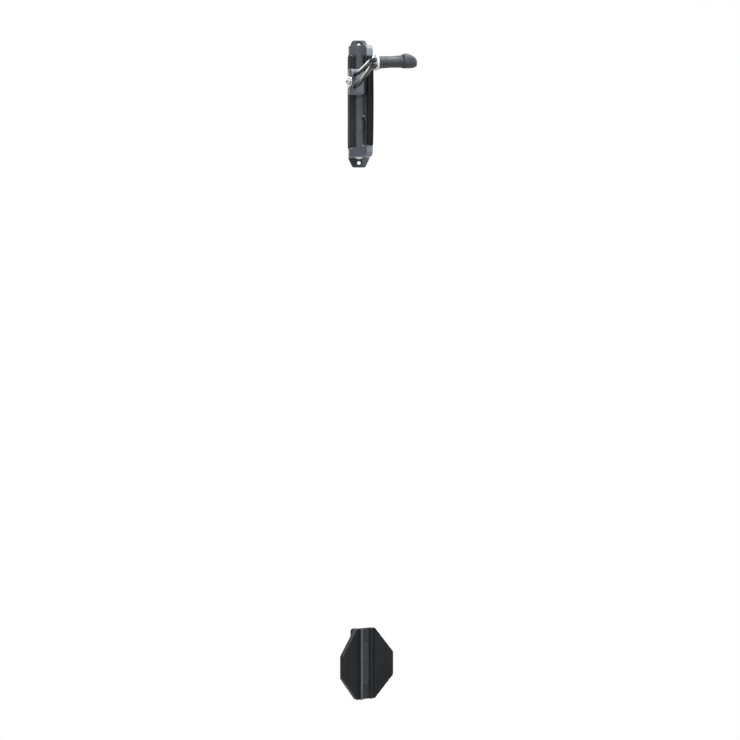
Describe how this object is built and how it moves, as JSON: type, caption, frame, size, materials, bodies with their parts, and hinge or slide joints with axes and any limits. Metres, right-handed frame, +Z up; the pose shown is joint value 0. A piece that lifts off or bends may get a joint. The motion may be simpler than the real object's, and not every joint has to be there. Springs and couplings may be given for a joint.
{
  "type": "swing-up bike wall mount",
  "caption": "Wall mount that hangs a bike by its front wheel on a padded hook that swings sideways, with a swivelling rest below for the rear tyre.",
  "frame": {"origin": "middle of the back face of the upper wall plate, on the wall", "axes": "+X along the wall to the right as seen from the room, +Y into the wall, +Z up; the swing axis and the rest's swivel axis are both parallel to Z"},
  "size_m": [0.1476, 0.2178, 1.2945],
  "materials": {
    "charcoal_paint": "satin powder coat",
    "cast_aluminium": "satin powder coat on cast aluminium",
    "black_nylon": "moulded glass-filled nylon, fine grain",
    "inlay_gloss": "semi-gloss",
    "black_rod": "semi-gloss powder coat on steel rod",
    "zinc_steel": "bright zinc plate",
    "rubber": "matte",
    "acetal": "natural acetal"
  },
  "bodies": {
    "wall_units": {"wall_plate": "charcoal_paint", "pivot_column": "black_nylon", "front_inlay": "inlay_gloss", "column_screw_upper": "zinc_steel", "column_screw_lower": "zinc_steel", "upper_bush": "acetal", "lower_bush": "acetal", "rest_base": "black_nylon", "rest_pin": "zinc_steel", "rest_pin_clip": "zinc_steel"},
    "swing_arm": {"swing_yoke": "cast_aluminium", "pivot_shaft": "zinc_steel", "pivot_washer_upper": "zinc_steel", "pivot_washer_lower": "zinc_steel", "pivot_screw_upper": "zinc_steel", "pivot_screw_lower": "zinc_steel", "tyre_rest_pad": "rubber", "hook_wire": "black_rod", "rod_clamp": "cast_aluminium", "clamp_bolt": "zinc_steel", "clamp_washer": "zinc_steel", "hook_collar": "zinc_steel", "hook_sleeve": "rubber", "hook_tip": "rubber"},
    "wheel_rest": {"rest_cradle": "black_nylon", "rest_upper_bush": "acetal", "rest_lower_bush": "acetal", "rest_pad": "rubber"}
  },
  "joints": [
    {"name": "hook_swing", "type": "hinge", "parent": "wall_units", "child": "swing_arm", "pos_m": [0, -0.045, 0], "axis": [0, 0, 1], "range_deg": [-102, 48]},
    {"name": "rest_swivel", "type": "hinge", "parent": "wall_units", "child": "wheel_rest", "pos_m": [0, -0.04, -1.1], "axis": [0, 0, 1], "range_deg": [-81, 9]}
  ]
}
